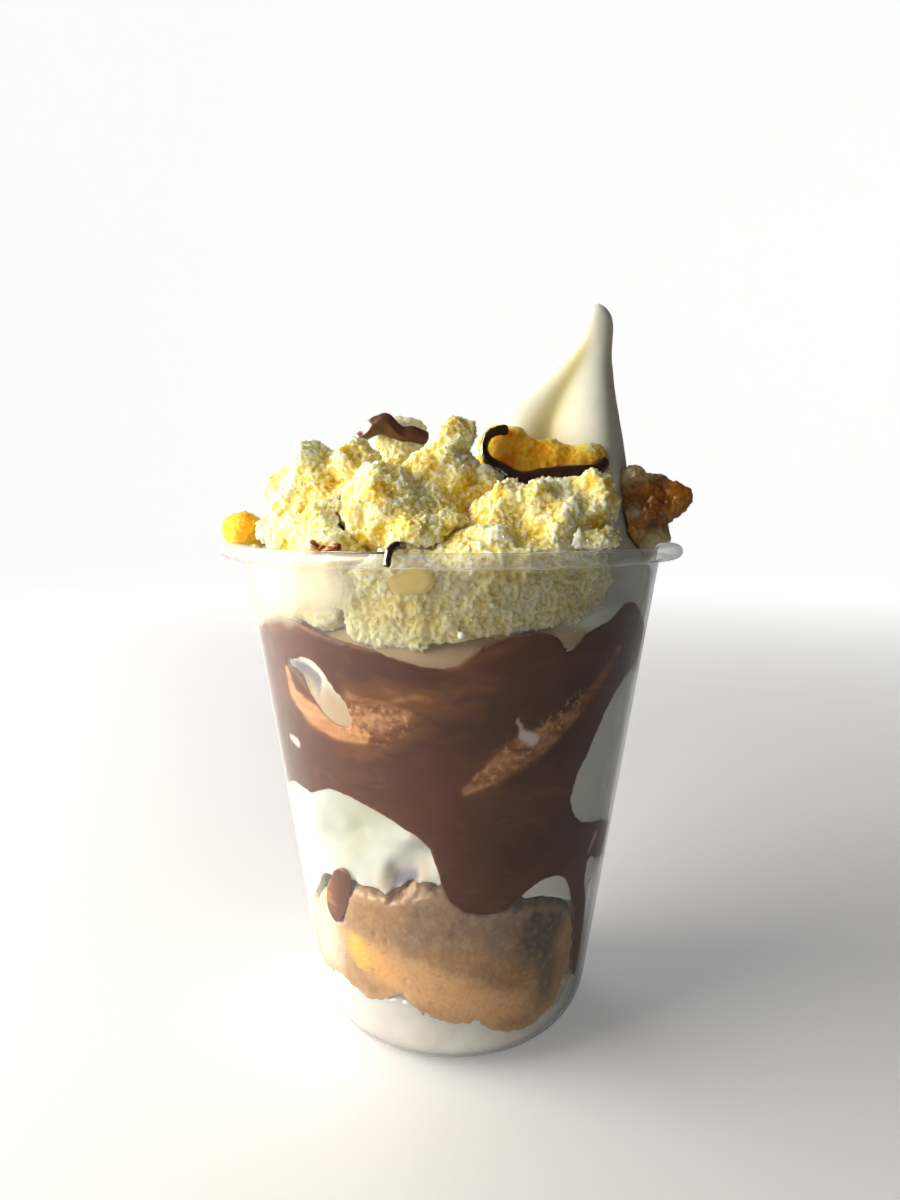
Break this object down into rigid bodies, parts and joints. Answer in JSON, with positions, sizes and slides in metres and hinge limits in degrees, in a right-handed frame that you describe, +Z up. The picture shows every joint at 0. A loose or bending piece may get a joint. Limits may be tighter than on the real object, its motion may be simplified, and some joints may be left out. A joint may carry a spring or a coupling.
{
  "type": "ice cream sundae",
  "caption": "Soft serve sundae in a clear tapered plastic cup with a rolled rim, chocolate sauce on the wall, torn sponge cake on top and a drawn-out ice cream peak.",
  "frame": {"origin": "centre of the flat underside of the cup's foot, on the table", "axes": "+Z up along the cup's axis; -Y is the front seen in the picture; +X is to the right seen from the front, where the ice cream peak stands"},
  "size_m": [0.0976, 0.0957, 0.153],
  "materials": {
    "cup": "clear thermoformed polypropylene, slightly milky",
    "ice_cream": "smooth soft serve ice cream, just starting to melt",
    "melted_ice_cream": "milky melted ice cream",
    "sponge": "torn open-crumb vanilla sponge cake",
    "soaked_cake": "sponge cake soaked with sauce and melted ice cream",
    "golden_sponge": "orange sponge cake crumb",
    "crust": "caramelised sticky cake crust",
    "chocolate": "glossy chocolate sauce"
  },
  "bodies": {
    "root": {"cup": "cup", "soft_serve": "ice_cream", "melted_ice_cream": "melted_ice_cream", "bottom_cake": "soaked_cake", "pale_cake_piece": "sponge", "chocolate_sauce": "chocolate", "chocolate_blob": "chocolate", "sponge_front": "sponge", "sponge_middle": "sponge", "sponge_left": "sponge", "sponge_back_left": "sponge", "sponge_far_left": "sponge", "sponge_centre": "sponge", "sponge_back": "sponge", "sponge_back_right": "sponge", "small_crumb_right": "sponge", "white_crumb_left": "sponge", "golden_sponge": "golden_sponge", "orange_crumb": "golden_sponge", "brown_crust": "crust", "chocolate_ribbon_right": "chocolate", "chocolate_ribbon_left": "chocolate", "chocolate_drip": "chocolate"}
  },
  "joints": []
}
